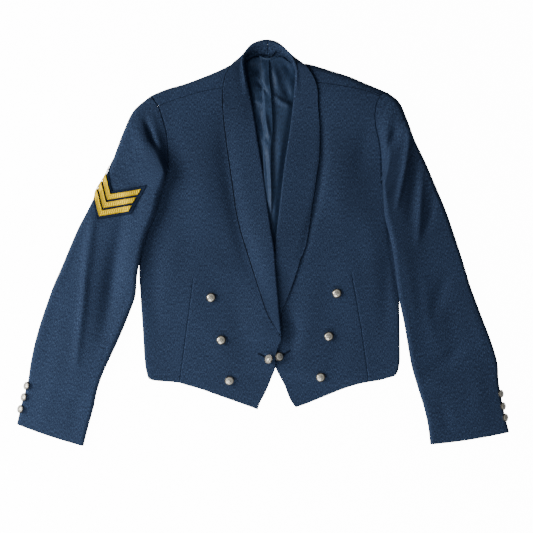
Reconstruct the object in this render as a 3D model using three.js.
// A mess jacket laid out flat on its back: short and open-fronted, with a rolled shawl collar, linked at the
// waist by a pair of shank buttons. Barathea wool, satin lining, domed metal buttons and three gold lace chevrons.
//
// Millimetres. +X is towards the wearer's left, +Y towards the collar, +Z up out of the fronts.
// Z = 0 is the surface that the jacket lies on, and the origin is under the middle of its outline.
//
// Every cloth piece is a wall: its outer face is a grid of points worked out from a few curves and heights, and
// its inner face is the same grid set in by the thickness of the cloth.

import * as THREE from "three";

// Thickness of each cloth with what backs it.
const BACK_CLOTH = 2.0;
const FRONT_CLOTH = 2.4;
const SLEEVE_CLOTH = 2.0;
const COLLAR_CLOTH = 2.4;
const LINING_CLOTH = 1.0;
const PATCH_CLOTH = 1.0;
const LACE = 1.2;

// Room between pieces: at an open seam, at a seam that the collar hides, where a piece lies on another, where a
// sleeve meets its armhole, and where it lies over the side of the body.
const SEAM = 0.3;
const HIDDEN_SEAM = 0.8;
const LIE = 0.6;
const ARMHOLE_ROOM = 1.7;
const SLEEVE_LIE = 1.4;
const PATCH_LIE = 0.7;

// How the layers stand above the surface.
const LAID_HEIGHT = 7.4; // top of a front that lies on the back
const SIDE_SPRING = 2; // extra height where the cloth turns at a side
const SIDE_ROLL = 5; // half width of that turn, seen from above
const SHOULDER_ROLL = 12; // the same at the shoulder, where the back comes over to the front
const SHOULDER_FALL = 170; // length over which the shoulder's height dies away down the chest
const SIDE_SEAM_IN = 26; // side seam, in from the turn on the underside
const OVERLAP_SINK = 1.8; // how far the left front sinks where the right one lies over it
const OVERLAP_LIFT = 5.8; // how far the right front stands up where it also lies over the left collar
const LINK_LIFT = 2.4; // the same below the collar, at the link

const clamp = (t, low = 0, high = 1) => Math.min(high, Math.max(low, t));
const mix = (a, b, t) => a + (b - a) * t;
const ease = (from, to, value) => {
  const t = clamp((value - from) / (to - from));
  return clamp(t * t * (3 - 2 * t));
};

// A table: the names of its columns, then one row for each section or fold.
const table = (columns, rows) =>
  rows.map((row) => Object.fromEntries(columns.map((name, i) => [name, row[i]])));

// Slopes of a smooth curve through points that rise in x. A level curve doesn't overshoot its points.
function slopes(xs, ys, level) {
  const step = xs.slice(1).map((x, i) => (ys[i + 1] - ys[i]) / (x - xs[i]));
  return ys.map((_, i) => {
    if (i === 0) return step[0];
    if (i === ys.length - 1) return step[i - 1];
    const before = xs[i] - xs[i - 1];
    const after = xs[i + 1] - xs[i];
    if (!level) return (step[i - 1] * after + step[i] * before) / (before + after);
    if (step[i - 1] * step[i] <= 0) return 0;
    const a = 2 * after + before;
    const b = after + 2 * before;
    return (a + b) / (a / step[i - 1] + b / step[i]);
  });
}

// The smooth curve through a table's columns as a function. Past its ends it stays at their values.
function through(rows, from, to, level = true) {
  const xs = rows.map((row) => row[from]);
  const ys = rows.map((row) => row[to]);
  const m = slopes(xs, ys, level);
  return (value) => {
    const x = clamp(value, xs[0], xs[xs.length - 1]);
    let i = 0;
    while (i < xs.length - 2 && x > xs[i + 1]) i += 1;
    const h = xs[i + 1] - xs[i];
    const t = (x - xs[i]) / h;
    return (
      ys[i] * (1 + 2 * t) * (1 - t) ** 2 +
      h * m[i] * t * (1 - t) ** 2 +
      ys[i + 1] * t * t * (3 - 2 * t) -
      h * m[i + 1] * t * t * (1 - t)
    );
  };
}

// Rows with their distance along the line that two of their columns draw on the plan.
function measured(rows, across, along) {
  let length = 0;
  return rows.map((row, i) => {
    if (i) length += Math.hypot(row[across] - rows[i - 1][across], row[along] - rows[i - 1][along]);
    return { ...row, length };
  });
}

// A smooth line on the plan through a table's rows, as a function of the share of its length.
function line(rows, across, along, level = false) {
  const marked = measured(rows, across, along);
  const { length } = marked[marked.length - 1];
  const a = through(marked, "length", across, level);
  const b = through(marked, "length", along, level);
  return (share) => [a(share * length), b(share * length)];
}

// Soft ridges, and troughs where the height is negative, each from one end to the other.
function relief(folds, x, y) {
  let height = 0;
  for (const f of folds) {
    const dx = f.toX - f.x;
    const dy = f.toY - f.y;
    const t = clamp(((x - f.x) * dx + (y - f.y) * dy) / (dx * dx + dy * dy));
    const away = Math.hypot(x - f.x - t * dx, y - f.y - t * dy);
    height += f.height * Math.exp(-((away / f.width) ** 2));
  }
  return height;
}

// The outline. "out" is the distance from the garment's middle plane towards the side that is being made, so it
// is -X on the wearer's right and +X on the wearer's left.

const RIGHT = {
  name: "right",
  sign: -1,
  side: table(["y", "out"], [
    [-262, 208], [-250, 214], [-226, 219], [-166, 223], [-107, 227], [-50, 230], [13, 228], [56, 225], [85, 218],
    [104, 208], [130, 200],
  ]),
  armhole: table(["y", "out"], [
    [104, 203], [113, 190], [130, 178], [148, 175], [170, 176], [205, 179], [224, 184], [251, 193], [265, 203],
    [271, 208],
  ]),
  underarm: 104, // y of the armhole's lowest point, at the side
  pit: 130, // y where the sleeve's inner edge leaves the armhole
  hem: table(["out", "y"], [
    [9, -312], [42, -300], [79, -287], [116, -274], [143, -266], [156, -262], [204, -257], [216, -254], [242, -254],
  ]),
  edge: table(["out", "y"], [
    [9, -312], [5, -300], [-3, -285], [-10, -270], [-16, -255], [-24, -233], [-24.5, -214], [-27, -202],
    [-32, -189], [-35.5, -181],
  ]),
  seam: table(["out", "y"], [[34, 291], [74, 285], [112, 278], [140, 270], [169, 260], [193, 251]]),
  // Collar, from its start at the waist to the middle of the nape: the roll, the outer edge, and how the
  // section changes from a flat roll (0) to an upright stand at the side of the neck (1) and at the nape (2).
  collar: table(["rollX", "rollY", "outX", "outY", "kind"], [
    [35.5, -174, 29, -166.5, 0], [34.5, -159, 19, -151, 0], [32, -137, 8, -129, 0], [30, -109, -1, -102, 0],
    [25, -56, -18, -50, 0], [22, -14, -30, -12, 0], [16, 25, -42, 29, 0], [11, 59, -49, 62, 0],
    [6, 95, -54, 98, 0], [0, 137, -60, 140, 0], [-8, 186, -66, 184, 0], [-15, 231, -71, 226, 0],
    [-22, 268, -72.5, 258, 0.1], [-28, 296, -72, 283, 0.5], [-31, 314, -69, 302, 1], [-33, 328, -63, 319, 1],
    [-33, 339, -56, 331, 1], [-30, 348, -47, 341, 1.2], [-25, 354, -37, 351, 1.6], [-15, 359.5, -22, 366, 2],
    [-3, 362.5, -6, 373.5, 2], [9.85, 363.5, 9.85, 376, 2],
  ]),
  sleeve: table(["innerX", "innerY", "outerX", "outerY", "height", "roll"], [
    [-178, 130, -208, 271, 18, 10], [-178.5, 124, -238, 245, 24, 10], [-180, 117, -257, 207, 26, 10],
    [-183, 105, -272, 168, 25, 10], [-189, 89, -286, 130, 23, 10], [-198, 55, -302.5, 102, 22, 9],
    [-217, 8, -325, 58, 21, 9], [-226, -29, -343, 24, 20, 9], [-232, -62, -358, -10, 19, 8],
    [-236, -102, -375, -50, 18, 8], [-249, -137, -389, -82, 18, 8], [-264, -173, -402, -118, 18, 8],
    [-280, -208, -414, -154, 18, 8], [-296, -243, -424, -190, 17, 7], [-307, -275, -431, -224, 17, 7],
    [-314, -308, -437, -262, 16, 7], [-323, -340, -448, -300, 15, 7], [-332, -372, -456, -338, 14, 6],
  ]),
  sleeveFolds: table(["x", "y", "toX", "toY", "width", "height"], [
    [-282, -15, -278, -107, 22, -3], [-278, -107, -300, -200, 22, -2.4], [-308, 66, -326, -70, 14, 1.6],
    [-326, -70, -347, -255, 14, 1.8], [-212, 240, -196, 180, 12, -2],
  ]),
};

const LEFT = {
  name: "left",
  sign: 1,
  side: table(["y", "out"], [
    [-258, 238], [-250, 246], [-241, 252], [-216, 256], [-122, 255], [-6, 254], [37, 251], [64, 247], [80, 241],
    [100, 236],
  ]),
  armhole: table(["y", "out"], [
    [80, 236], [90, 230], [106, 223], [118, 222], [154, 221], [183, 218], [215, 211], [235, 209], [255, 212],
    [272, 221], [278, 232],
  ]),
  underarm: 80,
  pit: 112,
  hem: table(["out", "y"], [
    [62, -308], [77, -303], [107, -291], [147, -275], [178, -265], [196, -261], [218, -257], [240, -251],
    [252, -249], [274, -249],
  ]),
  edge: table(["out", "y"], [[62, -308], [57, -302], [41, -267], [24, -233], [18.5, -204], [18, -184]]),
  seam: table(["out", "y"], [[66, 298], [101, 295.5], [135, 291], [165, 286], [199, 277.5], [219, 269]]),
  collar: table(["rollX", "rollY", "outX", "outY", "kind"], [
    [18, -175, 24, -168, 0], [18.5, -158, 31, -149, 0], [19, -137, 38, -124, 0], [20, -107, 49, -98, 0],
    [21, -70, 61, -66, 0], [22, -35, 71, -34, 0], [23.5, -5, 81, -6, 0], [27, 28, 88, 32, 0],
    [31, 59, 92, 62, 0], [36, 105, 99, 108, 0], [43, 159, 106, 158, 0], [50, 202, 107, 196, 0],
    [54, 233, 106, 226, 0], [57, 262, 104, 256, 0], [59, 288, 102, 282, 0.4], [60, 304, 96, 301, 0.9],
    [60, 317, 89, 313, 1], [57, 329, 80, 326, 1], [52, 340, 70, 336, 1], [45, 349, 58, 347, 1.3],
    [36, 356, 46, 358, 1.7], [24, 361, 28, 371, 2], [10.15, 363.5, 10.15, 376, 2],
  ]),
  sleeve: table(["innerX", "innerY", "outerX", "outerY", "height", "roll"], [
    [222, 112, 232, 278, 18, 10], [222, 104, 251, 263, 24, 10], [222.5, 95, 268, 228, 26, 10],
    [223, 84, 281, 192, 26, 10], [224, 70, 297, 160, 24, 10], [226, 48, 320, 108, 22, 9],
    [232, 24, 341, 58, 21, 9], [240, -10, 355, 18, 20, 9], [245, -44, 367, -18, 19, 8],
    [249, -78, 377, -50, 18, 8], [254, -112, 386, -80, 18, 8], [262, -150, 398, -113, 18, 8],
    [269, -190, 412, -150, 18, 8], [276, -228, 425, -184, 17, 7], [285, -259, 437, -226, 17, 7],
    [293, -285, 439, -258, 16, 7], [300, -308, 444, -288, 16, 7], [307, -338, 450, -318, 15, 7],
    [312, -366, 455, -348, 14, 6],
  ]),
  sleeveFolds: table(["x", "y", "toX", "toY", "width", "height"], [
    [245, 216, 230, 174, 14, -4], [273, 216, 252, 80, 12, 2], [297, 133, 286, 4, 12, 2],
    [338, -15, 348, -110, 18, -2.6], [348, -110, 350, -200, 18, -2.4], [350, -200, 302, -264, 18, -2],
  ]),
};

// The top of the shoulders and the nape, and how high the body stands there.
const SHOULDER_LINE = table(["x", "y", "height"], [
  [-215, 267, 22], [-208, 271, 22], [-193, 278, 23], [-171, 286, 24], [-149, 292, 25], [-108, 307, 25],
  [-73, 322, 25], [-56, 331, 24], [-36, 340, 20], [-20, 348, 12], [10, 351, 8], [42, 348, 12], [53, 342, 20],
  [77, 333, 24], [99, 327, 25], [121, 320, 25], [162, 307, 25], [188, 296, 24], [210, 287, 23], [236, 276, 22],
]);

// The back's hem, arched up in the middle, where the fronts hide it.
const BACK_HEM = table(["x", "y"], [[-216, -254], [-100, -246], [15, -224], [130, -244], [252, -249]]);

// The largest soft rises of the two fronts: the chest, and below it the waist that the darts shape.
const BODY_FOLDS = table(["x", "y", "toX", "toY", "width", "height"], [
  [-125, 150, -118, 60, 45, 4],
  [-128, -60, -134, -110, 36, 2.4],
  [150, 150, 155, 60, 45, 4],
  [160, -50, 168, -110, 36, 2.4],
]);

const shoulderY = through(SHOULDER_LINE, "x", "y");
const shoulderHeight = through(SHOULDER_LINE, "x", "height");
const backHem = through(BACK_HEM, "x", "y");

for (const half of [RIGHT, LEFT]) {
  half.sideOut = through(half.side, "y", "out");
  half.armholeOut = through(half.armhole, "y", "out");
}

// How far a front departs from lying flat where one lies over the other.
function overlap(half, x, y) {
  if (half === LEFT) {
    const inY = ease(-262, -236, y) * (1 - ease(-58, -30, y));
    return -OVERLAP_SINK * inY * (1 - ease(44, 84, x));
  }
  const linkY = ease(-256, -234, y) * (1 - ease(-190, -176, y));
  const collarY = ease(-190, -176, y) * (1 - ease(0, 80, y));
  return (LINK_LIFT * linkY + OVERLAP_LIFT * collarY) * ease(-50, 12, x);
}

// Height of a front's outer face above the surface.
function bodyTop(half, x, y) {
  const toSide = half.sideOut(y) - half.sign * x;
  const toShoulder = shoulderY(x) - SHOULDER_ROLL - y;
  const rise = (shoulderHeight(x) - LAID_HEIGHT) * (1 - ease(0, SHOULDER_FALL, toShoulder)) ** 1.6;
  const spring = SIDE_SPRING * Math.exp(-((toSide / 28) ** 2));
  const pastBack = ease(6, 34, backHem(x) - y);
  const laid = LAID_HEIGHT + spring + rise + relief(BODY_FOLDS, x, y) + overlap(half, x, y);
  return mix(laid, FRONT_CLOTH, pastBack);
}

// The same with the turn over the shoulder, past which it falls to the surface.
function bodyCover(half, x, y) {
  const past = (y - shoulderY(x) + SHOULDER_ROLL) / SHOULDER_ROLL;
  if (past <= 0) return bodyTop(half, x, y);
  const middle = bodyTop(half, x, shoulderY(x) - SHOULDER_ROLL) / 2;
  if (past < 1) return middle + middle * Math.sqrt(1 - past * past);
  return middle * (1 - ease(1, 1.9, past));
}

// A closed wall between an outer and an inner face. Each is a function of the shares u and v, which are given as
// a number of equal steps or as a list.
function wall(face, uSteps, vSteps, thickness) {
  const shares = (steps) =>
    Array.isArray(steps) ? steps : Array.from({ length: steps + 1 }, (_, i) => i / steps);
  const us = shares(uSteps);
  const vs = shares(vSteps);
  const position = [];
  for (const inset of [0, thickness]) {
    for (const v of vs) {
      for (const u of us) position.push(...face(u, v, inset));
    }
  }
  const wide = us.length;
  const tall = vs.length;
  const at = (layer, i, j) => layer * wide * tall + j * wide + i;
  const index = [];
  const quad = (a, b, c, d) => index.push(a, b, c, a, c, d);
  for (let j = 0; j < tall - 1; j += 1) {
    for (let i = 0; i < wide - 1; i += 1) {
      quad(at(0, i, j), at(0, i + 1, j), at(0, i + 1, j + 1), at(0, i, j + 1));
      quad(at(1, i, j), at(1, i, j + 1), at(1, i + 1, j + 1), at(1, i + 1, j));
    }
  }
  for (let i = 0; i < wide - 1; i += 1) {
    quad(at(0, i, 0), at(1, i, 0), at(1, i + 1, 0), at(0, i + 1, 0));
    quad(at(0, i + 1, tall - 1), at(1, i + 1, tall - 1), at(1, i, tall - 1), at(0, i, tall - 1));
  }
  for (let j = 0; j < tall - 1; j += 1) {
    quad(at(0, 0, j + 1), at(1, 0, j + 1), at(1, 0, j), at(0, 0, j));
    quad(at(0, wide - 1, j), at(1, wide - 1, j), at(1, wide - 1, j + 1), at(0, wide - 1, j + 1));
  }
  return facingOut(position, index);
}

// A geometry whose faces point outwards, whichever way round its grid was made.
function facingOut(position, index) {
  let volume = 0;
  const corner = (i) => new THREE.Vector3(...position.slice(3 * i, 3 * i + 3));
  for (let i = 0; i < index.length; i += 3) {
    volume += corner(index[i]).dot(corner(index[i + 1]).cross(corner(index[i + 2])));
  }
  if (volume < 0) {
    for (let i = 0; i < index.length; i += 3) [index[i + 1], index[i + 2]] = [index[i + 2], index[i + 1]];
  }
  const geometry = new THREE.BufferGeometry();
  geometry.setAttribute("position", new THREE.Float32BufferAttribute(position, 3));
  geometry.setIndex(index);
  return geometry;
}

// Cloths and metals, as the eye names them.
const barathea = new THREE.MeshStandardMaterial({ name: "barathea", color: 0x2c3d55, roughness: 0.95 });
const satin = new THREE.MeshStandardMaterial({ name: "satin", color: 0x2b3b50, roughness: 0.6 });
const felt = new THREE.MeshStandardMaterial({ name: "felt", color: 0x151d2e, roughness: 1 });
const goldLace = new THREE.MeshStandardMaterial({ name: "gold_lace", color: 0xe3c04a, roughness: 0.6 });
const metal = new THREE.MeshStandardMaterial({ name: "metal", color: 0xd8d2c0, roughness: 0.2, metalness: 1 });

const jacket = new THREE.Group();

function add(name, geometry, material) {
  const mesh = new THREE.Mesh(geometry, material);
  mesh.name = name;
  jacket.add(mesh);
  return mesh;
}

// Collar: two halves that meet at the nape. Its section starts at the seam with the front, goes out to the roll,
// turns there and comes back over the front to its outer edge. Across, it is measured from the roll.

const COLLAR_ROLL = 3.3; // radius of the flat roll
const COLLAR_SEAM = 5; // from the roll to the seam below it
const SHOULDER_LIE = 1.6; // how much looser the collar lies where it turns over the shoulder

const STAND = table(["across", "z"], [ // side of the neck, from the seam up to the roll
  [1.5, 4.4], [0.9, 9.5], [0.3, 15], [0, 20], [1, 25.2], [4.5, 28.6],
]);
const NAPE = table(["across", "z"], [
  [-16, 4.4], [-8, 9], [-2, 17.5], [0.8, 22.8], [3.6, 25.8], [6.4, 26.6], [9.4, 25], [11.4, 20], [12, 11],
  [11.8, 1.6],
]);

for (const half of [RIGHT, LEFT]) {
  const marked = measured(half.collar, "rollX", "rollY");
  half.collarLength = marked[marked.length - 1].length;
  const at = {};
  for (const name of ["rollX", "rollY", "outX", "outY"]) at[name] = through(marked, "length", name, false);
  at.kind = through(marked, "length", "kind");
  half.collarAt = (length) => {
    const row = { x: at.rollX(length), y: at.rollY(length), kind: at.kind(length) };
    const [dx, dy] = [at.outX(length) - row.x, at.outY(length) - row.y];
    row.width = Math.hypot(dx, dy);
    row.dx = dx / row.width;
    row.dy = dy / row.width;
    return row;
  };
}

// The outer face of the collar's section as ten points, each the distance across and the height.
function collarSection(half, row) {
  const height = (across) => bodyCover(half, row.x + across * row.dx, row.y + across * row.dy);
  const low = height(COLLAR_SEAM) - FRONT_CLOTH;
  const radius = Math.min(COLLAR_ROLL, row.width * 0.45);
  const flat = [[COLLAR_SEAM - HIDDEN_SEAM / 2, low]];
  for (const degrees of [-90, -45, 0, 45, 90]) {
    const angle = (degrees * Math.PI) / 180;
    flat.push([radius - radius * Math.cos(angle), low + radius + radius * Math.sin(angle)]);
  }
  const fall = [1, 2, 3, 4].map((step) => {
    const t = step / 4;
    const across = mix(radius, row.width, t);
    const start = low + 2 * radius - height(radius);
    const clear = LIE + COLLAR_CLOTH + SHOULDER_LIE * clamp(1 - Math.abs(row.kind - 1));
    return [across, height(across) + mix(start, clear, ease(0, 0.9, t))];
  });
  const stand = STAND.map(({ across, z }) => [across, z]);
  const nape = NAPE.map(({ across, z }) => [across > 0 ? (across * row.width) / 12 : across, z]);
  const profiles = [[...flat, ...fall], [...stand, ...fall], nape];
  const from = Math.min(Math.floor(row.kind), 1);
  return profiles[from].map(([across, z], i) => [
    mix(across, profiles[from + 1][i][0], row.kind - from),
    mix(z, profiles[from + 1][i][1], row.kind - from),
  ]);
}

// The section's points set in by the cloth, square to the section.
function collarPoint(half, share, point, inset) {
  const row = half.collarAt(share * half.collarLength);
  const section = collarSection(half, row);
  const [before, after] = [section[Math.max(point - 1, 0)], section[Math.min(point + 1, section.length - 1)]];
  const length = Math.hypot(after[0] - before[0], after[1] - before[1]);
  const across = section[point][0] - (inset * (before[1] - after[1])) / length;
  const z = section[point][1] - (inset * (after[0] - before[0])) / length;
  return [row.x + across * row.dx, row.y + across * row.dy, z];
}

const COLLAR_STATIONS = 31;
for (const half of [RIGHT, LEFT]) {
  const face = (u, v, inset) => collarPoint(half, v, Math.round(u * 9), inset);
  add(`${half.name}_collar`, wall(face, 9, COLLAR_STATIONS, COLLAR_CLOTH), barathea);
}

// Fronts: each runs from its front edge to the side, turns there, and ends at a side seam on the underside.

// A point of a front. "reach" is measured across the cloth from the middle, on round the side's turn.
function frontPoint(half, reach, y, inset) {
  const turn = half.sideOut(y) - SIDE_ROLL;
  const past = reach - turn;
  const bend = Math.PI * SIDE_ROLL;
  if (past <= 0) return [half.sign * reach, y, bodyTop(half, half.sign * reach, y) - inset];
  if (past >= bend) return [half.sign * (turn - (past - bend)), y, inset];
  const angle = past / SIDE_ROLL;
  const middle = bodyTop(half, half.sign * turn, y) / 2;
  const out = turn + (SIDE_ROLL - inset) * Math.sin(angle);
  return [half.sign * out, y, middle + (middle - inset) * Math.cos(angle)];
}

// The front edge goes on up the seam that the collar's roll hides.
function frontEdge(half) {
  const rows = [...half.edge];
  const top = half.seam[0].y;
  for (let length = 0; ; length += 40) {
    const row = half.collarAt(length);
    const across = COLLAR_SEAM + HIDDEN_SEAM / 2 + (length ? 3 * row.kind : 2.6);
    const y = row.y + across * row.dy;
    if (y > top - 12) break;
    rows.push({ out: half.sign * (row.x + across * row.dx), y });
  }
  rows.push({ out: half.seam[0].out, y: top });
  return line(rows, "out", "y");
}

// The outer boundary of a front in reach and y: up the side seam, round under the arm, up the armhole.
function frontSide(half) {
  const bend = Math.PI * SIDE_ROLL;
  const seamOut = (y) => half.sideOut(Math.min(y, half.underarm)) - SIDE_SEAM_IN;
  const seamReach = (y) => 2 * (half.sideOut(y) - SIDE_ROLL) + bend - seamOut(y);
  const hem = half.hem[half.hem.length - 1].y;
  const turn = half.sideOut(half.underarm) - SIDE_ROLL;
  const end = half.seam[half.seam.length - 1];
  const rows = [0, 0.2, 0.4, 0.6, 0.75, 0.86, 0.93, 0.97, 1].map((share) => {
    const y = mix(hem, half.underarm + 12, share);
    const room = SEAM / 2 + 2.2 * ease(half.underarm - 12, half.underarm, y);
    return { reach: seamReach(y) - room, y };
  });
  rows.push({ reach: turn + bend + 6, y: half.underarm + 4 });
  rows.push({ reach: turn + bend / 2, y: half.underarm });
  rows.push({ reach: turn, y: half.underarm + 1 });
  for (const row of half.armhole) {
    if (row.y > half.underarm + 4 && row.y < end.y - 4) rows.push({ reach: row.out - SEAM / 2, y: row.y });
  }
  rows.push({ reach: end.out - SEAM / 2, y: end.y - SEAM / 2 });
  return line(rows, "reach", "y", true);
}

// A front's grid fills in between its four edges.
function frontFace(half) {
  const hem = line([...half.hem].reverse(), "out", "y");
  const seam = line([...half.seam].reverse(), "out", "y");
  const side = frontSide(half);
  const edge = frontEdge(half);
  const [c00, c10, c01, c11] = [side(0), edge(0), side(1), edge(1)];
  return (u, v, inset) => {
    const [bottom, top, left, right] = [hem(u), seam(u), side(v), edge(v)];
    const blend = (k) =>
      (1 - v) * bottom[k] + v * top[k] + (1 - u) * left[k] + u * right[k] -
      (1 - u) * (1 - v) * c00[k] - u * (1 - v) * c10[k] - (1 - u) * v * c01[k] - u * v * c11[k];
    return frontPoint(half, blend(0), blend(1) - (v * SEAM) / 2, inset);
  };
}

for (const half of [RIGHT, LEFT]) {
  add(`${half.name}_front`, wall(frontFace(half), 16, 23, FRONT_CLOTH), barathea);
}

// Back: flat on the surface, with its shoulders brought over to the forward seams. At the neck the turn over the
// shoulder dies out below the collar.

const NECK = { right: { full: -62, none: -42 }, left: { full: 88, none: 68 } };

const forwardSeam = { right: through(RIGHT.seam, "out", "y"), left: through(LEFT.seam, "out", "y") };

function backPoint(x, share, inset) {
  const side = x < 10 ? "right" : "left";
  const turnY = shoulderY(x) - SHOULDER_ROLL;
  const full = ease(NECK[side].none, NECK[side].full, x);
  const middle = mix(BACK_CLOTH + 1, shoulderHeight(x), full) / 2;
  const over = Math.max(turnY - forwardSeam[side](Math.abs(x)) - SEAM, 0) * full;
  const bend = 40;
  const past = share * mix(SHOULDER_ROLL, bend + over, full);
  if (full === 0) return [x, turnY + past, inset];
  if (past <= bend) {
    const angle = (past / bend) * Math.PI;
    return [x, turnY + (SHOULDER_ROLL - inset) * Math.sin(angle), middle - (middle - inset) * Math.cos(angle)];
  }
  const y = turnY - (past - bend);
  return [x, y, bodyTop(side === "right" ? RIGHT : LEFT, x, y) - inset];
}

// Where the back ends at each side: the side seam, then the armhole.
function backOut(half, y) {
  const seam = half.sideOut(Math.min(y, half.underarm)) - SIDE_SEAM_IN - SEAM / 2;
  const hole = half.armholeOut(Math.max(y, half.pit)) - SEAM / 2;
  return mix(seam, hole, ease(half.underarm + 12, half.pit + 4, y));
}

const BACK_UNDER_ROWS = [0, 0.16, 0.32, 0.46, 0.57, 0.635, 0.665, 0.7, 0.74, 0.79, 0.83, 0.87, 0.91, 0.955];
const BACK_TURN_ROWS = 9;

// Shares up to 1 are on the surface, and from there to 2 they go round the shoulder.
function backFace(u, v, inset) {
  const t = clamp(v);
  const past = clamp(v - 1);
  const underY = (x) => mix(backHem(x), shoulderY(x) - SHOULDER_ROLL, t);
  const ends = [RIGHT, LEFT].map((half) => {
    let out = half.armholeOut(250);
    for (let i = 0; i < 6; i += 1) {
      const x = half.sign * out;
      const y = past > 0 ? backPoint(x, past, 0)[1] : underY(x);
      out = past > 0 ? half.armholeOut(y) - SEAM / 2 : backOut(half, y);
    }
    return half.sign * out;
  });
  const x = mix(ends[0], ends[1], u);
  return past > 0 ? backPoint(x, past, inset) : [x, underY(x), inset];
}

const backRows = [...BACK_UNDER_ROWS];
for (let i = 0; i <= BACK_TURN_ROWS; i += 1) backRows.push(1 + i / BACK_TURN_ROWS);
add("back", wall(backFace, 20, backRows, BACK_CLOTH), barathea);

// Lining: two halves on the back, with a pleat down the middle where the right half lies over the left.

const LINING_TOP = table(["x", "y"], [
  [-37, 330], [-27, 337], [-16, 343], [12, 345], [36, 344], [47, 337], [62, 330],
]);
const PLEAT = table(["y", "x"], [[-26, 17], [170, 16], [207, 19], [268, 16], [309, 12], [345, 12]]);
const liningTop = through(LINING_TOP, "x", "y");
const pleat = through(PLEAT, "y", "x");
const LINING_BOTTOM = -26;
const PLEAT_OVERLAP = 9;

for (const half of [RIGHT, LEFT]) {
  const marked = half.collar.filter((row) => row.rollY > -60 && row.rollY < 330);
  const roll = through(marked, "rollY", "rollX");
  const face = (u, v, inset) => {
    const guess = mix(LINING_BOTTOM, 338, v);
    const far = roll(guess) + half.sign * mix(24, 3, ease(250, 320, guess));
    const near = half === RIGHT ? pleat(guess) : pleat(guess) - PLEAT_OVERLAP;
    const step = near - PLEAT_OVERLAP - 8;
    const x = half === RIGHT && u < 0.6 ? mix(Math.min(far, step - 3), step, u / 0.6)
      : half === RIGHT ? mix(step, near, (u - 0.6) / 0.4)
      : mix(far, near, u);
    const lift = half === RIGHT ? 1.4 * ease(0.6, 0.7, u) : 0;
    return [x, mix(LINING_BOTTOM, liningTop(x), v), BACK_CLOTH + SEAM + LINING_CLOTH + lift - inset];
  };
  const across = half === RIGHT ? [0, 0.3, 0.6, 0.7, 1] : [0, 0.5, 1];
  add(`${half.name}_lining`, wall(face, across, 14, LINING_CLOTH), satin);
}

// Sleeves: a flat tube from the armhole to the cuff. The top sleeve turns at both edges of the tube and goes a
// little way onto the underside, and the under sleeve fills in between.

const CUFF_BOW = 7; // how far the middle of the cuff's edge hangs below its ends
const PATCH_ROOM = 3.6; // how far the cloth stands off the surface below the lace
const WRAP = 14; // how far the top sleeve goes onto the underside
const ON_BODY = 8.5; // how much higher a sleeve's top is where the body is below it

// Where the body holds a sleeve's underside off the surface.
function sleeveRest(half, x, y) {
  const out = half.sign * x;
  const edge = y < half.underarm ? half.sideOut(y) : half.armholeOut(Math.min(y, half.pit));
  const above = Math.max(y - half.pit, 0) * 1.5;
  const away = Math.hypot(Math.max(out - edge, 0), above);
  const cover = 1 - ease(12, 38, away);
  const on = Math.min(out, edge - 2);
  return cover * (bodyTop(half, half.sign * on, Math.min(y, half.pit)) + SLEEVE_LIE);
}

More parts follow.
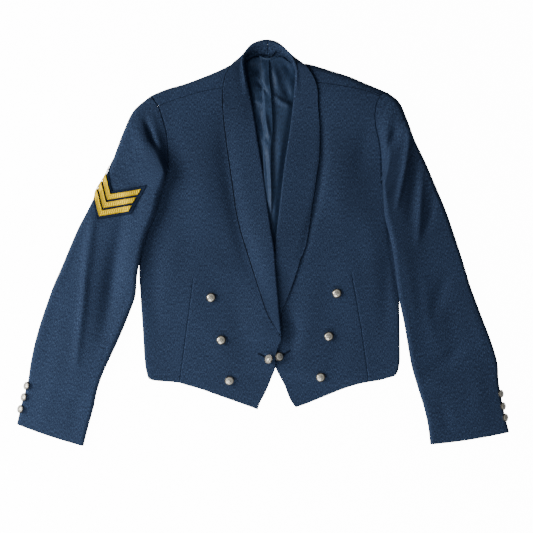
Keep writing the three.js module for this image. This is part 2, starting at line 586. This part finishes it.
for (const half of [RIGHT, LEFT]) {
  const mid = half.sleeve.map((row) => ({
    ...row,
    midX: (row.innerX + row.outerX) / 2,
    midY: (row.innerY + row.outerY) / 2,
  }));
  const marked = measured(mid, "midX", "midY");
  half.sleeveRows = marked;
  half.sleeveLength = marked[marked.length - 1].length;
  const at = {};
  for (const name of ["innerX", "innerY", "outerX", "outerY", "height", "roll"]) {
    at[name] = through(marked, "length", name, name === "height" || name === "roll");
  }
  const armhole = half.armhole.filter((row) => row.y >= half.pit);
  if (armhole[0].y > half.pit) armhole.unshift({ y: half.pit, out: half.armholeOut(half.pit) });
  const hole = line(armhole, "out", "y");
  const first = half.sleeve[0];

  // A point of the sleeve on the plan, at a distance across from its inner edge.
  half.sleevePlan = (length, across) => {
    const width = Math.hypot(at.outerX(length) - at.innerX(length), at.outerY(length) - at.innerY(length));
    const t = across / width;
    const onHole = clamp(t);
    const [nearOut, nearY] = hole(clamp(onHole - 0.03));
    const [farOut, farY] = hole(clamp(onHole + 0.03));
    const apart = Math.hypot(farOut - nearOut, farY - nearY);
    const [holeOut, holeY] = hole(onHole);
    const clearOut = holeOut + (ARMHOLE_ROOM * (farY - nearY)) / apart;
    const clearY = holeY - (ARMHOLE_ROOM * (farOut - nearOut)) / apart;
    const follow = 1 - ease(0, 75, length);
    const hang = CUFF_BOW * Math.sin(Math.PI * clamp(t)) * ease(half.sleeveLength - 50, half.sleeveLength, length);
    const x = mix(at.innerX(length), at.outerX(length), t);
    const y = mix(at.innerY(length), at.outerY(length), t);
    return {
      width,
      x: x + follow * (half.sign * clearOut - mix(first.innerX, first.outerX, t)),
      y: y + follow * (clearY - mix(first.innerY, first.outerY, t)) - hang,
    };
  };

  half.sleeveHeights = (length, across) => {
    const { x, y, width } = half.sleevePlan(length, across);
    const chevrons = half === RIGHT
      ? PATCH_ROOM * ease(35, 90, length) * (1 - ease(235, 300, length)) * ease(20, 70, across)
      : 0;
    const low = Math.max(sleeveRest(half, x, y), chevrons);
    const borne = ON_BODY * (1 - ease(-40, 60, half.sign * x - half.sideOut(Math.min(y, half.underarm))));
    const full = borne + at.height(length) + relief(half.sleeveFolds, x, y);
    const [holeOut, holeY] = hole(clamp(across / width));
    const start = Math.max(bodyTop(half, half.sign * holeOut, holeY) + 0.6, low + 7);
    return { low, high: mix(start, full, ease(0, 34, length)) };
  };

  // A point on the sleeve's skin. "way" goes round from the middle of the outer turn: up and over to the inner
  // edge where it is positive, and along the underside where it is negative. "lift" is out from the skin.
  half.sleeveSkin = (length, way, lift) => {
    const { width } = half.sleevePlan(length, 0);
    const roll = at.roll(length);
    const { low, high } = half.sleeveHeights(length, width - roll);
    const middle = (low + high) / 2;
    const rise = (high - low) / 2;
    const quarter = (Math.PI / 2) * Math.sqrt((roll * roll + rise * rise) / 2);
    if (Math.abs(way) <= quarter) {
      const angle = (way / quarter) * (Math.PI / 2);
      const { x, y } = half.sleevePlan(length, width - roll + (roll + lift) * Math.cos(angle));
      return [x, y, middle + (rise + lift) * Math.sin(angle)];
    }
    const across = width - roll - (Math.abs(way) - quarter);
    const { x, y } = half.sleevePlan(length, across);
    const heights = half.sleeveHeights(length, across);
    return [x, y, way > 0 ? heights.high + lift : heights.low - lift];
  };

  // The top sleeve: five stretches across, which are the underside, the turn, the top, the turn, the underside.
  half.topSleeve = (u, v, inset) => {
    const length = v * half.sleeveLength;
    const { width } = half.sleevePlan(length, 0);
    const roll = at.roll(length);
    const stretch = Math.min(Math.floor(u), 4);
    const t = u - stretch;
    const wrap = (share) => roll + (WRAP - SEAM / 2) * share;
    const turned = (centre, outward, angle) => {
      const { low, high } = half.sleeveHeights(length, centre);
      const { x, y } = half.sleevePlan(length, centre + outward * (roll - inset) * Math.cos(angle));
      return [x, y, (low + high) / 2 + ((high - low) / 2 - inset) * Math.sin(angle)];
    };
    if (stretch === 1) return turned(roll, -1, mix(-Math.PI / 2, Math.PI / 2, t));
    if (stretch === 3) return turned(width - roll, 1, mix(Math.PI / 2, -Math.PI / 2, t));
    const across = [wrap(1 - t), 0, mix(roll, width - roll, t), 0, width - wrap(t)][stretch];
    const { x, y } = half.sleevePlan(length, across);
    const { low, high } = half.sleeveHeights(length, across);
    return [x, y, stretch === 2 ? high - inset : low + inset];
  };

  half.underSleeve = (u, v, inset) => {
    const length = v * half.sleeveLength;
    const { width } = half.sleevePlan(length, 0);
    const edge = at.roll(length) + WRAP + SEAM / 2;
    const across = mix(edge, width - edge, u);
    const { x, y } = half.sleevePlan(length, across);
    return [x, y, half.sleeveHeights(length, across).low + inset];
  };
}

// The steps along a sleeve are shorter at its head, where it bends most.
const ALONG = Array.from({ length: 25 }, (_, i) => (i / 24) ** 1.2);
const stretches = [2, 4, 9, 4, 2];
const AROUND = stretches.flatMap((steps, i) => Array.from({ length: steps }, (_, k) => i + k / steps));
AROUND.push(4.99999);

for (const half of [RIGHT, LEFT]) {
  add(`${half.name}_top_sleeve`, wall(half.topSleeve, AROUND, ALONG, SLEEVE_CLOTH), barathea);
  add(`${half.name}_under_sleeve`, wall(half.underSleeve, 7, ALONG, SLEEVE_CLOTH), barathea);
}

// Rank: three bars of gold lace in a V on a patch of darker cloth, round the outer turn of the right sleeve.

const CHEVRON = {
  length: RIGHT.sleeveRows[6].length, // along the sleeve, at the lowest point of the lowest V
  way: 31, // round the sleeve, at the middle of the V
  reach: 44.5, // from the middle to the end on top of the sleeve
  rise: 0.7, // up for each millimetre out, on top
  turnedReach: 33, // the same two where the V goes round the sleeve's turn, and is drawn up by it
  turnedRise: 1,
  turnedCurve: 0.0125, // how the turned arm steepens, for each millimetre out
  bar: 12.6, // length of a bar's end along the sleeve
  pitch: 17,
  margin: 6.5,
};
const PATCH_OUT = PATCH_LIE + PATCH_CLOTH;
const LACE_OUT = PATCH_OUT + PATCH_LIE + LACE;

const onSleeve = (out, up, lift) =>
  RIGHT.sleeveSkin(CHEVRON.length - up, CHEVRON.way + out, lift);

// Height of the V's lower edge at a distance out from its middle, which is negative round the turn.
const vRise = (out) => out * (out < 0 ? CHEVRON.turnedCurve * out - CHEVRON.turnedRise : CHEVRON.rise);

// From one end of the V to the other, each end further out by a margin. The middle is at half the share.
const acrossV = (share, margin) =>
  share < 0.5
    ? -(CHEVRON.turnedReach + margin) * (1 - 2 * share)
    : (CHEVRON.reach + margin) * (2 * share - 1);

const patchHeight = 2 * CHEVRON.pitch + CHEVRON.bar + 2 * CHEVRON.margin;
add("chevron_patch", wall((u, v, inset) => {
  const out = acrossV(u, CHEVRON.margin);
  return onSleeve(out, vRise(out) - CHEVRON.margin + v * patchHeight, PATCH_OUT - inset);
}, 28, 5, PATCH_CLOTH), felt);

[0, 1, 2].forEach((bar) => {
  add(`chevron_${bar + 1}`, wall((u, v, inset) => {
    const out = acrossV(u, 0);
    return onSleeve(out, vRise(out) + bar * CHEVRON.pitch + v * CHEVRON.bar, LACE_OUT - inset);
  }, 24, 1, LACE), goldLace);
});

// Buttons: domed heads with a rolled rim, on a shank that stands on the cloth.

const BUTTON = table(["radius", "height"], [
  [0, 6.2], [3.6, 5.7], [6.3, 4.5], [8.1, 3.4], [8.6, 2.6], [7.6, 2.0], [1.7, 1.8], [1.7, 0], [0, 0],
]);
const BUTTON_SIDES = 12;

// A button with its foot at a point of the cloth, standing along a direction.
function button(foot, direction, size) {
  const axis = new THREE.Vector3(...direction).normalize();
  const turn = new THREE.Quaternion().setFromUnitVectors(new THREE.Vector3(0, 0, 1), axis);
  const position = [];
  const index = [];
  const ring = (i, k) => (i === 0 ? 0 : 1 + (i - 1) * BUTTON_SIDES + (k % BUTTON_SIDES));
  const last = BUTTON.length - 1;
  const bottom = 1 + (last - 1) * BUTTON_SIDES;
  BUTTON.forEach(({ radius, height }, i) => {
    const sides = i === 0 || i === last ? 1 : BUTTON_SIDES;
    for (let k = 0; k < sides; k += 1) {
      const angle = (k / BUTTON_SIDES) * 2 * Math.PI;
      const point = new THREE.Vector3(radius * Math.cos(angle), radius * Math.sin(angle), height);
      point.multiplyScalar(size).applyQuaternion(turn);
      position.push(foot[0] + point.x, foot[1] + point.y, foot[2] + point.z);
    }
  });
  for (let k = 0; k < BUTTON_SIDES; k += 1) {
    index.push(0, ring(1, k), ring(1, k + 1));
    for (let i = 1; i < last - 1; i += 1) {
      index.push(ring(i, k), ring(i + 1, k), ring(i + 1, k + 1), ring(i, k), ring(i + 1, k + 1), ring(i, k + 1));
    }
    index.push(ring(last - 1, k), bottom, ring(last - 1, k + 1));
  }
  return facingOut(position, index);
}

// The lift of each foot leaves it about 0.4 mm clear of the cloth's flat faces.
const FRONT_BUTTONS = table(["half", "x", "y", "lift"], [
  [RIGHT, -96, -103, 0.5], [RIGHT, -77, -182, 0.5], [RIGHT, -62, -257, 0.2],
  [LEFT, 138, -95, 0.5], [LEFT, 123, -175, 0.5], [LEFT, 108, -251, -0.3],
]);

// Out from the cloth, from the slope of a front at a point.
function frontNormal(half, x, y) {
  const slopeX = (bodyTop(half, x + 4, y) - bodyTop(half, x - 4, y)) / 8;
  const slopeY = (bodyTop(half, x, y + 4) - bodyTop(half, x, y - 4)) / 8;
  return [-slopeX, -slopeY, 1];
}

FRONT_BUTTONS.forEach(({ half, x, y, lift }, i) => {
  const foot = [x, y, bodyTop(half, x, y) + lift];
  add(`${half.name}_front_button_${(i % 3) + 1}`, button(foot, frontNormal(half, x, y), 1), metal);
});

// The two link buttons stand on the two front edges and lean away from each other.
const LINK_BUTTONS = table(["half", "x", "y", "lift", "leanX", "leanY"], [
  [RIGHT, 13, -218, 3, -0.6, 0.35],
  [LEFT, 30, -213, 2.7, 0.62, 0.1],
]);
for (const { half, x, y, lift, leanX, leanY } of LINK_BUTTONS) {
  const foot = [x, y, bodyTop(half, x, y) + lift];
  add(`${half.name}_link_button`, button(foot, [leanX, leanY, 1], 1), metal);
}

// Three smaller ones stand on the outer turn of each cuff.
const CUFF_BUTTON_SIZE = 0.88;
const CUFF_BUTTONS = {
  right: table(["y", "lift"], [[-266, 0.7], [-287, -0.3], [-309, 0]]),
  left: table(["y", "lift"], [[-281, 0.1], [-304, -0.1], [-325, -0.1]]),
};
for (const half of [RIGHT, LEFT]) {
  const lengthAt = through([...half.sleeveRows].reverse(), "outerY", "length");
  CUFF_BUTTONS[half.name].forEach(({ y, lift }, i) => {
    const near = half.sleeveSkin(lengthAt(y), 3, lift);
    const far = half.sleeveSkin(lengthAt(y), 3, lift + 4);
    const direction = far.map((value, k) => value - near[k]);
    add(`${half.name}_cuff_button_${i + 1}`, button(near, direction, CUFF_BUTTON_SIZE), metal);
  });
}

export default jacket;
